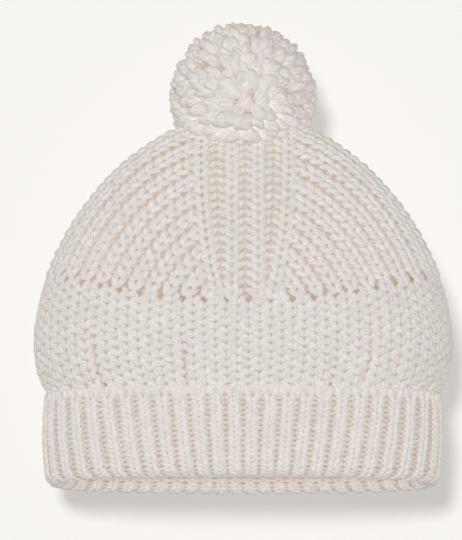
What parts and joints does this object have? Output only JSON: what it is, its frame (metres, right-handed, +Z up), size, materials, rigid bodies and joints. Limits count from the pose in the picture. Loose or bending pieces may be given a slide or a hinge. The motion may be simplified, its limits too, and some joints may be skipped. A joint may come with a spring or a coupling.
{
  "type": "knit beanie",
  "caption": "Chunky cream knit beanie with a turned-up rib cuff, a stitched band, a shaped crown and a full yarn pompom that leans on its tie.",
  "frame": {"origin": "middle of the hat's mouth, on the plane that its folded rim stands on", "axes": "+Z up through the crown to the pompom, +X to the wearer's left seen from the front, -Y to the front"},
  "size_m": [0.2002, 0.096, 0.2242],
  "materials": {
    "cream_knit": "soft matte wool knit",
    "pompom_yarn": "soft matte unspun wool yarn",
    "tie_yarn": "matte twisted yarn"
  },
  "bodies": {
    "hat": {"rim_fold": "cream_knit", "cuff_turn_up": "cream_knit", "cuff_inner_wall": "cream_knit", "back_seam": "cream_knit", "band": "cream_knit", "crown_front_panel": "cream_knit", "crown_back_panel": "cream_knit", "crown_left_panel": "cream_knit", "crown_right_panel": "cream_knit", "closing_yarn": "tie_yarn", "inner_knot": "tie_yarn"},
    "tie": {"tie_neck": "tie_yarn"},
    "pompom": {"pompom_tie_loop": "tie_yarn", "pompom_front_half": "pompom_yarn", "pompom_back_half": "pompom_yarn"}
  },
  "joints": [
    {"name": "pompom_nod", "type": "hinge", "parent": "hat", "child": "tie", "pos_m": [0, 0, 0.1812], "axis": [1, 0, 0], "range_deg": [-12, 12], "stiffness_Nm_per_rad": 0.04},
    {"name": "pompom_sway", "type": "hinge", "parent": "tie", "child": "pompom", "pos_m": [0, 0, 0.1812], "axis": [0, 1, 0], "range_deg": [-12, 12], "stiffness_Nm_per_rad": 0.04}
  ]
}
